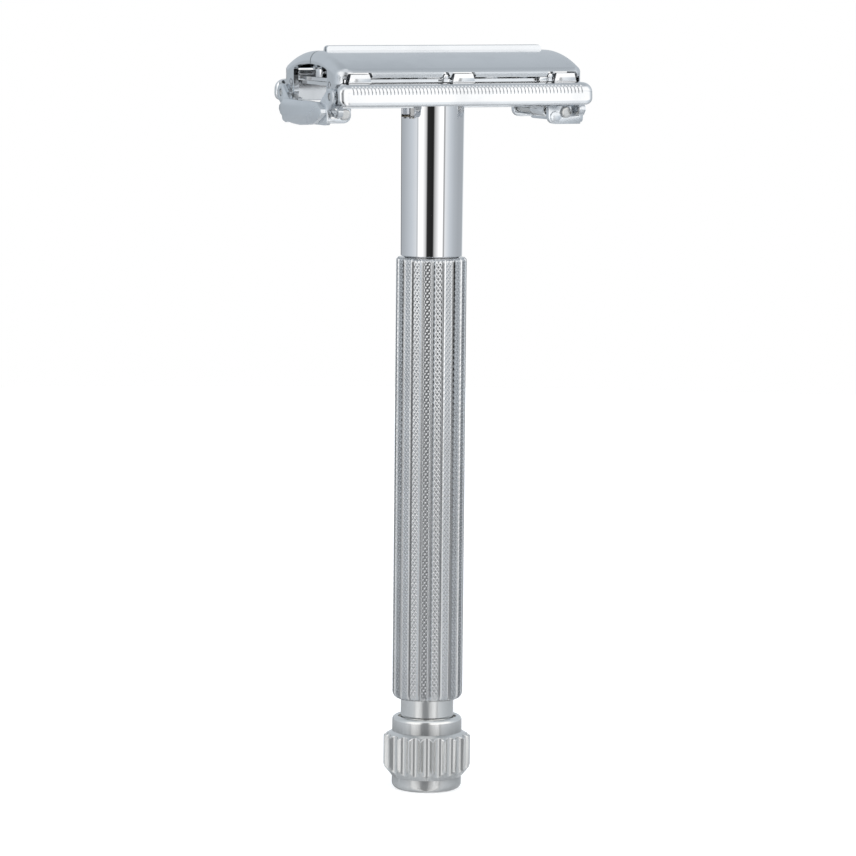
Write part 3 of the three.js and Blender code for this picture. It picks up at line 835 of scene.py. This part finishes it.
@dataclass
class Guard:
    """The base of the head: two notched safety bars, a web and the bed on it."""

    box: NodeBox = field(default_factory=lambda: NodeBox.of("guard_plate"))
    bed: NodeBox = field(default_factory=lambda: NodeBox.of("blade_bed"))
    inner: float = 10.55 * MM
    notch_pitch: float = 0.61 * MM
    notches: int = 64
    notch_depth: float = 0.2 * MM
    notch_slant: float = 0.2
    notch_top: float = 109.55 * MM
    notch_bottom: float = 108.3 * MM
    draft: float = 0.11 * MM
    inner_draft: float = 0.35 * MM
    end_length: float = 1.4 * MM
    end_thinning: Point = (0.75, 0.72)
    corner: float = 1.3 * MM
    lip: float = 0.3 * MM
    notch_half: float = 0.17
    notch_wall: float = 0.09
    pegs: tuple[tuple[str, float], ...] = (("centre", -2.95 * MM), ("end", 14.75 * MM))
    peg_rise: float = 0.9 * MM
    peg_radius: float = 0.4 * MM
    peg_foot: float = 0.3 * MM
    ledge: Point = (12.9 * MM, 14.1 * MM)
    ledge_rise: float = 0.75 * MM
    fitting_reach: Point = (1.6 * MM, 0.1 * MM)

    def _section(self) -> np.ndarray:
        """The bar's section as (y, z) points, on the +Y side, starting under its inner edge."""
        outer, bottom, top = self.box.high.y, self.box.low.z, self.box.high.z
        corner, lip = self.corner, self.lip
        foot = self.inner + self.inner_draft
        points = [(self.inner, top - 0.1 * MM), (foot, bottom + lip)]
        points += Shape.arc((foot + lip, bottom + lip), lip, math.pi, 1.5 * math.pi, 4)
        points += Shape.arc((outer - lip, bottom + lip), lip, -math.pi / 2, 0, 5)
        face = np.linspace(0, 1, 10)
        heights = bottom + 2 * lip + (top - corner - bottom - 2 * lip) * face
        points += [(outer - self.draft * share, z) for share, z in zip(face, heights)]
        points += Shape.arc((outer - self.draft - corner, top - corner), corner, 0.05, math.pi / 2, 26)
        points += [(self.inner + 0.1 * MM, top)]
        return np.array(points)

    def _stations(self) -> np.ndarray:
        """Places along X: close together over the notches and at the rounded ends."""
        run = self.notches * self.notch_pitch / 2
        beats = np.array([0.0, 0.3, 0.36, 0.42, 0.5, 0.58, 0.64, 0.7])
        notched = (np.arange(self.notches)[:, None] + beats).ravel() * self.notch_pitch - run
        half = self.box.high.x
        bend = np.linspace(0, math.pi / 2, 9)
        tip = half - self.end_length + self.end_length * np.sin(bend)
        return np.concatenate([-tip[::-1], notched, [run], tip])

    def _bar(self, name: str, side: int) -> Piece:
        """One safety bar with its notches.

        Args:
            name: The piece's name.
            side: 1 for the rear bar, -1 for the front one.

        Returns:
            The closed bar.
        """
        section = self._section()
        x = self._stations()
        half, bottom, top = self.box.high.x, self.box.low.z, self.box.high.z
        run = self.notches * self.notch_pitch / 2
        beat = ((x + run) / self.notch_pitch) % 1
        pulse = np.clip((self.notch_half - np.abs(beat - 0.5)) / self.notch_wall, 0, 1)
        pulse[np.abs(x) > run] = 0
        in_band = np.clip((section[:, 1] - self.notch_bottom) / (0.08 * MM), 0, 1)
        in_band *= np.clip((self.notch_top - section[:, 1]) / (0.3 * MM), 0, 1)
        outward = section[:, 0] > self.inner + 0.5 * MM
        cut = self.notch_depth * pulse[:, None] * (in_band * outward)
        past = np.clip((np.abs(x) - half + self.end_length) / self.end_length, 0, 1)
        shrink = 1 - np.sqrt(1 - past**2)
        middle = np.array([(self.inner + self.box.high.y) / 2, (bottom + top) / 2])
        y_scale, z_scale = (1 - thinning * shrink for thinning in self.end_thinning)
        grid = np.empty((len(x), len(section), 3))
        level = np.clip(section[:, 1], self.notch_bottom, self.notch_top) - (self.notch_top + self.notch_bottom) / 2
        steady = np.clip((half - self.end_length - np.abs(x)) / MM, 0, 1)
        grid[..., 0] = x[:, None] + side * self.notch_slant * steady[:, None] * level
        grid[..., 1] = side * (middle[0] + (section[:, 0] - middle[0] - cut) * y_scale[:, None])
        grid[..., 2] = middle[1] + (section[:, 1] - middle[1]) * z_scale[:, None]
        return Shape.tube_grid(name, grid, caps=True)

    def build(self) -> None:
        """Makes the notched bars, the web that is left of the plain guard plate, the bed and its fittings."""
        for name, side in (("guard_bar_front", -1), ("guard_bar_rear", 1)):
            place(self._bar(name, side), "handle", HEAD, crease=40)
        reach, half = self.inner + 0.03 * MM, self.box.high.x + MM
        middle = Shape.rectangle((-reach, self.box.low.z - MM), (reach, self.box.high.z + MM))
        web = Work.refine("guard_plate", 0.0, "guard_web")
        Work.combine(web, [Shape.prism("keep", middle, Axis.X, -half, half)], "INTERSECT")
        place(web, "handle", HEAD, ["guard_plate"])
        place(Work.refine("blade_bed", 0.07 * MM), "handle", HEAD, ["blade_bed"])
        for number in range(1, 5):
            self._rivet(f"bed_rivet_{number}")
        for node in ("blade_stud_left", "blade_stud_right"):
            place(Work.refine(node, 0.12 * MM), "handle", HEAD, [node])
        for side in (-1, 1):
            self._edge_fittings(side)

    def _edge_fittings(self, side: int) -> None:
        """Two round pegs and a low ledge on the bed's edge, beside its pads.

        Args:
            side: 1 for the rear edge, -1 for the front one.
        """
        start, end = sorted(side * (self.bed.high.y - inset) for inset in self.fitting_reach)
        floor, edge, half = self.bed.low.z, 0.1 * MM, self.peg_foot
        for label, x in self.pegs:
            at = (-side * x, floor + self.peg_rise)
            peg = Shape.rod(f"bed_peg_{label}_{side}", self.peg_radius, Axis.Y, start, end, at, edge)
            foot = Shape.rounded_rectangle((at[0] - half, floor + edge), (at[0] + half, at[1]), 0.08 * MM)
            Work.combine(peg, [Shape.prism("foot", foot, Axis.Y, start + edge, end - edge)], "UNION")
            place(peg, "handle", HEAD, crease=40)
        span = sorted(-side * x for x in self.ledge)
        block = Shape.rounded_rectangle((span[0], floor + 0.05 * MM), (span[1], floor + self.ledge_rise), 0.15 * MM)
        ledge = Shape.prism(f"bed_ledge_{side}", block, Axis.Y, start, end)
        Work.ease(ledge, 0.06 * MM)
        place(ledge, "handle", HEAD)

    @staticmethod
    def _rivet(node: str) -> None:
        """A domed rivet head on its shank, in place of a plain CAD one.

        Args:
            node: The CAD rivet.
        """
        box = NodeBox.of(node)
        radius, rise = box.size.x / 2, 0.22 * MM
        dome = [(radius * math.cos(a), box.high.z - rise + rise * math.sin(a)) for a in np.linspace(0, 1.45, 8)]
        shank = radius * 0.6
        profile = [(0, box.low.z), (shank, box.low.z), (shank, dome[0][1]), *dome, (0, box.high.z)]
        rivet = Shape.turned(f"{node}_look", profile, 32)
        rivet.data.transform(Matrix.Translation((box.centre.x, box.centre.y, 0)))
        place(rivet, "handle", HEAD, [node], crease=40)


class Side(Enum):
    """The two doors, each by the name of its CAD node and body."""

    REAR = "door_rear"
    FRONT = "door_front"


@dataclass
class Door:
    """One curved door with its seam lip, its end walls and its cam slots."""

    side: Side
    crown: float = 114.5 * MM
    top: float = 115.3 * MM
    lip_y: float = 10.6 * MM
    lip_top: float = 111.95 * MM
    lip_bottom: float = 110.75 * MM
    arc_radius: float = 22.5 * MM
    wall: float = 0.8 * MM
    half: float = 20.7 * MM
    seam: float = 0.1 * MM
    ridge: float = 0.54 * MM
    ridge_half: float = 18.2 * MM
    end_radius: float = 1.6 * MM
    plan_radius: float = 2.2 * MM
    window_half: float = 6.05 * MM
    window_foot: float = 111.6 * MM
    window_top: float = 112.55 * MM
    pivot: Point = (8.9 * MM, 107.9 * MM)
    pivot_radius: float = 0.5 * MM
    ear: float = 1.4 * MM
    waist: float = 109.85 * MM
    tongue: Point = (7.0 * MM, 109.65 * MM)
    slot_half: float = 0.5 * MM
    slot_wall: float = 0.95 * MM
    lift: float = 3.0 * MM
    swing: float = math.radians(70)
    roll: float = 0.35 * MM
    knee: float = 109.4 * MM
    relief_rise: float = 0.77 * MM
    relief_lean: float = 0.4 * MM
    reliefs: tuple[Point, ...] = ((-17.3 * MM, 2.2 * MM), (0.0, 2.2 * MM), (17.3 * MM, 2.2 * MM),
                                  (2.95 * MM, 0.75 * MM), (-14.75 * MM, 0.75 * MM))

    def _centre(self) -> Point:
        """The centre of the circle that the crown follows."""
        start = np.array([self.seam + self.ridge, self.crown])
        end = np.array([self.lip_y - 0.15 * MM, self.lip_top])
        chord = end - start
        length = float(np.hypot(*chord))
        rise = math.sqrt(self.arc_radius**2 - (length / 2) ** 2)
        middle = (start + end) / 2
        return (float(middle[0] + chord[1] / length * rise), float(middle[1] - chord[0] / length * rise))

    def _crown_z(self, y: np.ndarray, radius: float) -> np.ndarray:
        """The height of the crown's circle at each y."""
        cy, cz = self._centre()
        return cz + np.sqrt(radius**2 - (y - cy) ** 2)

    def _outer(self) -> Piece:
        """The door's outer skin as a closed block, with rounded ends."""
        bend = np.linspace(0, math.pi / 2, 14)
        tip = self.half - self.end_radius + self.end_radius * np.sin(bend)
        x = np.concatenate([-tip[::-1], np.linspace(-tip[0], tip[0], 60)[1:-1], tip])
        past = np.clip(np.abs(x) - self.half + self.end_radius, 0, self.end_radius)
        drop = self.end_radius - np.sqrt(self.end_radius**2 - past**2)
        near = np.clip(np.abs(x) - self.half + self.plan_radius, 0, self.plan_radius)
        shrink = self.plan_radius - np.sqrt(self.plan_radius**2 - near**2)
        rings = []
        low = self.lip_bottom
        for inset, narrow in zip(drop, shrink):
            edge = self.lip_y - narrow
            y = np.linspace(self.seam, edge - self.roll, 42)
            z = np.maximum(self._crown_z(y, self.arc_radius - inset), low + 0.42 * MM)
            side_z = min(float(z[-1]) - 0.12 * MM, self.lip_top - self.roll)
            corner = [(edge - 0.12 * MM, side_z + 0.08 * MM), (edge - 0.02 * MM, side_z - 0.05 * MM)]
            foot = [(edge, low + 0.12 * MM), (edge - 0.06 * MM, low + 0.02 * MM), (edge - 0.2 * MM, low)]
            rings.append([*zip(y, z), *corner, *foot, (self.seam, low)])
        flat = np.array(rings)
        grid = np.concatenate([np.broadcast_to(x[:, None, None], (*flat.shape[:2], 1)), flat], axis=2)
        return Shape.tube_grid("door", grid, caps=True)

    def _cavity(self) -> Piece:
        """The hollow under the crown, open to the seam and below."""
        y = np.linspace(0.0, self.lip_y - 1.05 * MM, 30)
        z = self._crown_z(y, self.arc_radius - self.wall)
        below = self.lip_bottom - 1 * MM
        outline = [(-1 * MM, below), (-1 * MM, float(z[0])), *zip(y.tolist(), z.tolist()),
                   (self.lip_y - 0.9 * MM, below)]
        reach = self.half - self.wall
        return Shape.prism("cavity", outline, Axis.X, -reach, reach)

    def _window(self) -> Piece:
        """The arched opening through both end walls."""
        arch = [(self.window_half * math.cos(a),
                 self.window_foot + (self.window_top - self.window_foot) * math.sin(a))
                for a in np.linspace(0, math.pi, 41)]
        below = self.lip_bottom - 8 * MM
        outline = [(self.window_half, below), *arch, (-self.window_half, below)]
        return Shape.prism("window", outline, Axis.X, -self.half - MM, self.half + MM)

    def _cam_path(self) -> np.ndarray:
        """Where the fixed tongue lies, seen from the door, as the door lifts and swings."""
        travel = np.linspace(0, 1, 15)
        dy = self.tongue[0] - self.pivot[0]
        dz = self.tongue[1] - self.pivot[1] - self.lift * travel
        turn = self.swing * travel
        return np.stack([self.pivot[0] + dy * np.cos(turn) - dz * np.sin(turn),
                         self.pivot[1] + dy * np.sin(turn) + dz * np.cos(turn)], axis=1)

    def _leg(self, start: float, end: float) -> Piece:
        """The lower part of an end wall, with its pivot ear and cam slot.

        Args:
            start: Where the wall starts along X.
            end: Where it ends.

        Returns:
            The closed leg.
        """
        py, pz = self.pivot
        overlap = self.lip_bottom + 0.4 * MM
        wall = [(self.window_half, overlap), (self.window_half, self.knee), (py - self.ear, pz),
                (py, pz + self.ear - 0.1 * MM), (9.8 * MM, self.waist), (10.3 * MM, 110.2 * MM),
                (10.4 * MM, self.lip_bottom), (10.2 * MM, overlap)]
        leg = Shape.prism("leg", wall, Axis.X, start, end)
        plan = Shape.rounded_rectangle((-self.half, -self.lip_y), (self.half, self.lip_y), self.plan_radius)
        Work.combine(leg, [Shape.prism("keep", plan, Axis.Z, self.waist, self.top)], "INTERSECT")
        seat = self.waist + 0.02 * MM
        lower = [*((y, min(z, seat)) for y, z in wall[:5]), (self.window_half + MM, seat)]
        Work.combine(leg, [Shape.prism("lower", lower, Axis.X, start, end)], "UNION")
        ear = Shape.rod("ear", self.ear, Axis.X, start, end, self.pivot, around=48)
        tail = Shape.prism("tail", Shape.band(self._cam_path(), self.slot_wall), Axis.X, start, end)
        Work.combine(leg, [ear, tail], "UNION")
        slot = Shape.prism("slot", Shape.band(self._cam_path(), self.slot_half), Axis.X, start - MM, end + MM)
        hole = Shape.rod("hole", self.pivot_radius + 0.1 * MM, Axis.X, start - MM, end + MM, self.pivot)
        return Work.combine(leg, [slot, hole], "DIFFERENCE")

    def _relief(self, centre: float, half: float) -> Piece:
        """The notch in the lip over one of the bed's pads or pegs."""
        foot, roof, lean = self.lip_bottom, self.lip_bottom + self.relief_rise, self.relief_lean
        outline = [(centre - half, foot - MM), (centre + half, foot - MM), (centre + half, foot),
                   (centre + half - lean, roof), (centre - half + lean, roof), (centre - half, foot)]
        return Shape.prism("relief", outline, Axis.Y, self.lip_y - 1.6 * MM, self.lip_y + MM)

    def _ridge(self) -> Piece:
        """The upstanding lip along the seam, leaning a little and rounded at both ends."""
        lean, crest = 0.07 * MM, 0.16 * MM
        inner, outer = self.seam, self.seam + self.ridge
        foot = self.crown - 0.5 * MM
        outline = [(inner, foot), (outer, foot), (outer, self.crown - 0.1 * MM)]
        outline += Shape.arc((outer - lean - crest, self.top - crest), crest, 0.1, math.pi / 2, 6)
        outline += Shape.arc((inner + crest, self.top - crest), crest, math.pi / 2, math.pi, 6)
        ridge = Shape.prism("ridge", outline, Axis.X, -self.ridge_half, self.ridge_half)
        side = Shape.rounded_rectangle((-self.ridge_half, foot - MM), (self.ridge_half, self.top), 0.55 * MM)
        return Work.combine(ridge, [Shape.prism("side", side, Axis.Y, -MM, 2 * MM)], "INTERSECT")

    def build(self) -> None:
        """Makes the door in its place on its side of the seam."""
        door = self._outer()
        cutters = [self._cavity(), self._window(), *(self._relief(*notch) for notch in self.reliefs)]
        Work.combine(door, cutters, "DIFFERENCE")
        inner = self.half - self.wall
        Work.combine(door, [self._leg(inner, self.half), self._leg(-self.half, -inner), self._ridge()], "UNION")
        if self.side is Side.FRONT:
            door.data.transform(Matrix.Rotation(math.pi, 4, "Z"))
        door.name = f"{self.side.value}_look"
        place(door, self.side.value, DOOR, [self.side.value], crease=35)


# ---------------------------------------------------------------- lifter


class Lifter:
    """What rises with the rod: bar, brackets and pins."""

    def build(self) -> None:
        """Makes the lifter's pieces from their CAD nodes."""
        place(Work.refine("cross_bar", 0.1 * MM), "lifter", HEAD, ["cross_bar"])
        for node in ("end_bracket_left", "end_bracket_right"):
            place(Work.refine(node, 0.12 * MM), "lifter", BRACKET, [node])
        for node in ("cross_pin_left", "cross_pin_right"):
            self._cross_pin(node)
        for name in ("rear_a", "rear_b", "front_a", "front_b"):
            self._hinge_pin(f"hinge_pin_{name}")
        STEEL.dress(frame["nodes"]["centre_rod"])

    @staticmethod
    def _cross_pin(node: str) -> None:
        """A round pin with an eased head at each end, along Y.

        Args:
            node: The CAD pin.
        """
        box = NodeBox.of(node)
        at = (box.centre.x, box.centre.z)
        low, high, head, rise, edge = box.low.y, box.high.y, box.size.x / 2, 0.3 * MM, 0.1 * MM
        pin = Shape.rod(f"{node}_look", head * 0.65, Axis.Y, low, high, at, edge)
        ends = [Shape.rod("head", head, Axis.Y, start, start + rise, at, edge) for start in (low, high - rise)]
        Work.combine(pin, ends, "UNION")
        place(pin, "lifter", STEEL, [node], crease=40)

    @staticmethod
    def _hinge_pin(node: str) -> None:
        """A pin along X with a head at its inboard end.

        Args:
            node: The CAD pin.
        """
        box = NodeBox.of(node)
        at = (box.centre.y, box.centre.z)
        head, rise = box.size.y / 2, 0.2 * MM
        inboard = box.low.x if box.centre.x > 0 else box.high.x
        start, end = sorted((inboard, inboard + math.copysign(rise, box.centre.x)))
        pin = Shape.rod(f"{node}_look", head * 0.6, Axis.X, box.low.x, box.high.x, at, 0.08 * MM)
        Work.combine(pin, [Shape.rod("head", head, Axis.X, start, end, at, 0.06 * MM)], "UNION")
        place(pin, "lifter", STEEL, [node], crease=40)


# ---------------------------------------------------------------- studio


@dataclass(frozen=True)
class Band:
    """The light that comes from one range of elevations, as stops round the horizon."""

    stops: tuple[tuple[float, float, float], ...]
    cool: Colour = (0.93, 1.0, 1.07)

    def ramp(self, kit: NodeKit, bearing: Socket) -> Socket:
        """Adds the stops as a colour ramp.

        Args:
            kit: The world's tree.
            bearing: Bearings from -180 to 180 degrees, as 0 to 1.

        Returns:
            The ramp's colour.
        """
        node = kit.add("ShaderNodeValToRGB")
        elements = node.color_ramp.elements
        elements.remove(elements[1])
        for i, (angle, level, tint) in enumerate(self.stops):
            stop = elements[0] if i == 0 else elements.new(angle / 360 + 0.5)
            stop.color = (*(level * (1 + tint * (c - 1)) for c in self.cool), 1)
        kit.link(bearing, node.inputs["Fac"])
        return node.outputs["Color"]


LOW_BAND = Band((
    (-180, 0.95, 0.4), (-173, 0.95, 0.4), (-168, 0.12, 0), (-160, 0.12, 0), (-151, 0.46, 1),
    (-129, 0.50, 1), (-102, 0.60, 1), (-81, 0.70, 1), (-60, 0.83, 0.6),
    (-56, 0.55, 0.6), (-51, 1.35, 0), (-38, 1.35, 0), (-30, 1.05, 0), (-22, 0.62, 0), (-18, 0.03, 0),
    (4, 0.02, 0), (9, 0.55, 0), (15, 0.78, 0), (24, 1.15, 0), (30, 1.35, 0), (40, 1.35, 0), (43, 0.40, 0),
    (46, 0.42, 0.3), (49, 0.95, 0.4), (58, 0.84, 0.7), (70, 0.70, 1), (89, 0.56, 1), (112, 0.48, 1),
    (150, 0.48, 1), (158, 0.95, 0.4), (180, 0.95, 0.4),
))
HIGH_BAND = Band((
    (-180, 0.58, 1), (-110, 0.60, 1), (-80, 0.75, 0.8), (-62, 1.16, 0), (-26, 1.16, 0), (-14, 0.35, 0.5),
    (4, 0.30, 0.5), (14, 1.16, 0), (78, 1.16, 0), (96, 0.75, 0.8), (120, 0.60, 1), (180, 0.58, 1),
))
TOP_BAND = Band(((-180, 0.50, 1), (-80, 0.52, 1), (-40, 0.85, 0.5), (40, 0.85, 0.5), (80, 0.52, 1), (180, 0.50, 1)))


@dataclass
class Studio:
    """Pale floor, soft light and the camera."""

    distance: float = 700 * MM
    azimuth: float = math.radians(-26.0)
    eye_height: float = 135.6 * MM
    yaw: float = math.radians(0.023)
    pitch: float = math.radians(6.46)
    roll: float = math.radians(0.56)
    lens: float = 191.9
    floor_radius: float = 0.6
    floor_colour: Colour = (0.86, 0.87, 0.88)
    floor_glow: float = 0.52
    floor_base_glow: float = 0.04
    floor_clearness: float = 0.65

    def camera(self) -> None:
        """Adds the camera."""
        data = bpy.data.cameras.new("camera")
        data.lens = self.lens
        data.sensor_width = 36.0
        data.clip_start = 0.01
        data.clip_end = 20.0
        camera = bpy.data.objects.new("camera", data)
        bpy.context.scene.collection.objects.link(camera)
        spot = Vector((self.distance * math.sin(self.azimuth), -self.distance * math.cos(self.azimuth),
                       self.eye_height))
        level = Matrix.Rotation(self.azimuth + self.yaw, 4, "Z") @ Matrix.Rotation(math.pi / 2 - self.pitch, 4, "X")
        camera.matrix_world = Matrix.Translation(spot) @ level @ Matrix.Rotation(self.roll, 4, "Z")
        bpy.context.scene.camera = camera

    def floor(self) -> None:
        """Adds the pale floor, which looks white and casts back a softer light."""
        floor = Shape.turned("floor", [(0, -2 * MM), (self.floor_radius, -2 * MM), (self.floor_radius, 0), (0, 0)])
        white = bpy.data.materials.new("pale_floor")
        white.use_nodes = True
        kit = NodeKit(white.node_tree)
        surface = white.node_tree.nodes["Principled BSDF"]
        kit.fill(surface, Base_Color=(*self.floor_colour, 1), Roughness=0.6, Emission_Strength=1.0)
        seen = kit.add("ShaderNodeLightPath")
        glow = kit.math("MULTIPLY_ADD", seen.outputs["Is Camera Ray"], self.floor_glow, self.floor_base_glow)
        kit.link(glow, surface.inputs["Emission Color"])
        cover = kit.math("MULTIPLY_ADD", seen.outputs["Is Glossy Ray"], -self.floor_clearness, 1.0)
        kit.link(cover, surface.inputs["Alpha"])
        floor.data.materials.append(white)

    def world(self) -> None:
        """Sets a surround of soft boxes with a dark gap between them, white where the camera sees it."""
        world = bpy.data.worlds.new("surround")
        world.use_nodes = True
        bpy.context.scene.world = world
        kit = NodeKit(world.node_tree)
        sky = world.node_tree.nodes["Background"]
        ray = kit.add("ShaderNodeTexCoord")
        turned = kit.add("ShaderNodeVectorRotate", rotation_type="Z_AXIS", in_Angle=-self.azimuth)
        kit.link(ray.outputs["Generated"], turned.inputs["Vector"])
        split = kit.add("ShaderNodeSeparateXYZ")
        kit.link(turned.outputs[0], split.inputs[0])
        toward = kit.math("MULTIPLY", split.outputs["Y"], -1.0)
        bearing = kit.math("MULTIPLY_ADD", kit.math("ARCTAN2", split.outputs["X"], toward), 0.5 / math.pi, 0.5)
        rise = kit.math("ARCSINE", split.outputs["Z"])
        blend = LOW_BAND.ramp(kit, bearing)
        for band, (start, end) in ((HIGH_BAND, (0.5, 4.0)), (TOP_BAND, (35, 60))):
            step = kit.add("ShaderNodeMapRange", interpolation_type="SMOOTHSTEP", in_From_Min=math.radians(start),
                           in_From_Max=math.radians(end))
            kit.link(rise, step.inputs["Value"])
            mix = kit.add("ShaderNodeMix", data_type="RGBA")
            kit.link(step.outputs["Result"], mix.inputs["Factor"])
            kit.link(blend, mix.inputs["A"])
            kit.link(band.ramp(kit, bearing), mix.inputs["B"])
            blend = mix.outputs["Result"]
        seen = kit.add("ShaderNodeLightPath")
        mix = kit.add("ShaderNodeMix", data_type="RGBA", in_B=(1, 1, 1, 1))
        kit.link(seen.outputs["Is Camera Ray"], mix.inputs["Factor"])
        kit.link(blend, mix.inputs["A"])
        kit.link(mix.outputs["Result"], sky.inputs["Color"])
        kit.fill(sky, Strength=1.0)

    def build(self) -> None:
        """Sets up the camera, the floor and the light."""
        self.camera()
        self.floor()
        self.world()
        bpy.context.scene.view_settings.view_transform = "Standard"


# ---------------------------------------------------------------- assembly


def dress_inner_nodes() -> None:
    """Gives each CAD node that still shows its finish."""
    for node in ("guide_bush_upper", "guide_bush_lower", "knob_thread_insert", "thrust_washer"):
        BRASS.dress(frame["nodes"][node])
    STEEL.dress(frame["nodes"]["retaining_ring"])
    TURNED.dress(frame["nodes"]["knob_end_cap"])


def main() -> None:
    """Builds every sub-assembly in order."""
    logging.basicConfig(level=logging.INFO, format="%(message)s")
    Studio().build()
    Handle().build()
    Grip().build()
    Knob().build()
    Guard().build()
    for side in Side:
        Door(side).build()
    Lifter().build()
    dress_inner_nodes()


if __name__ == "__main__":
    main()
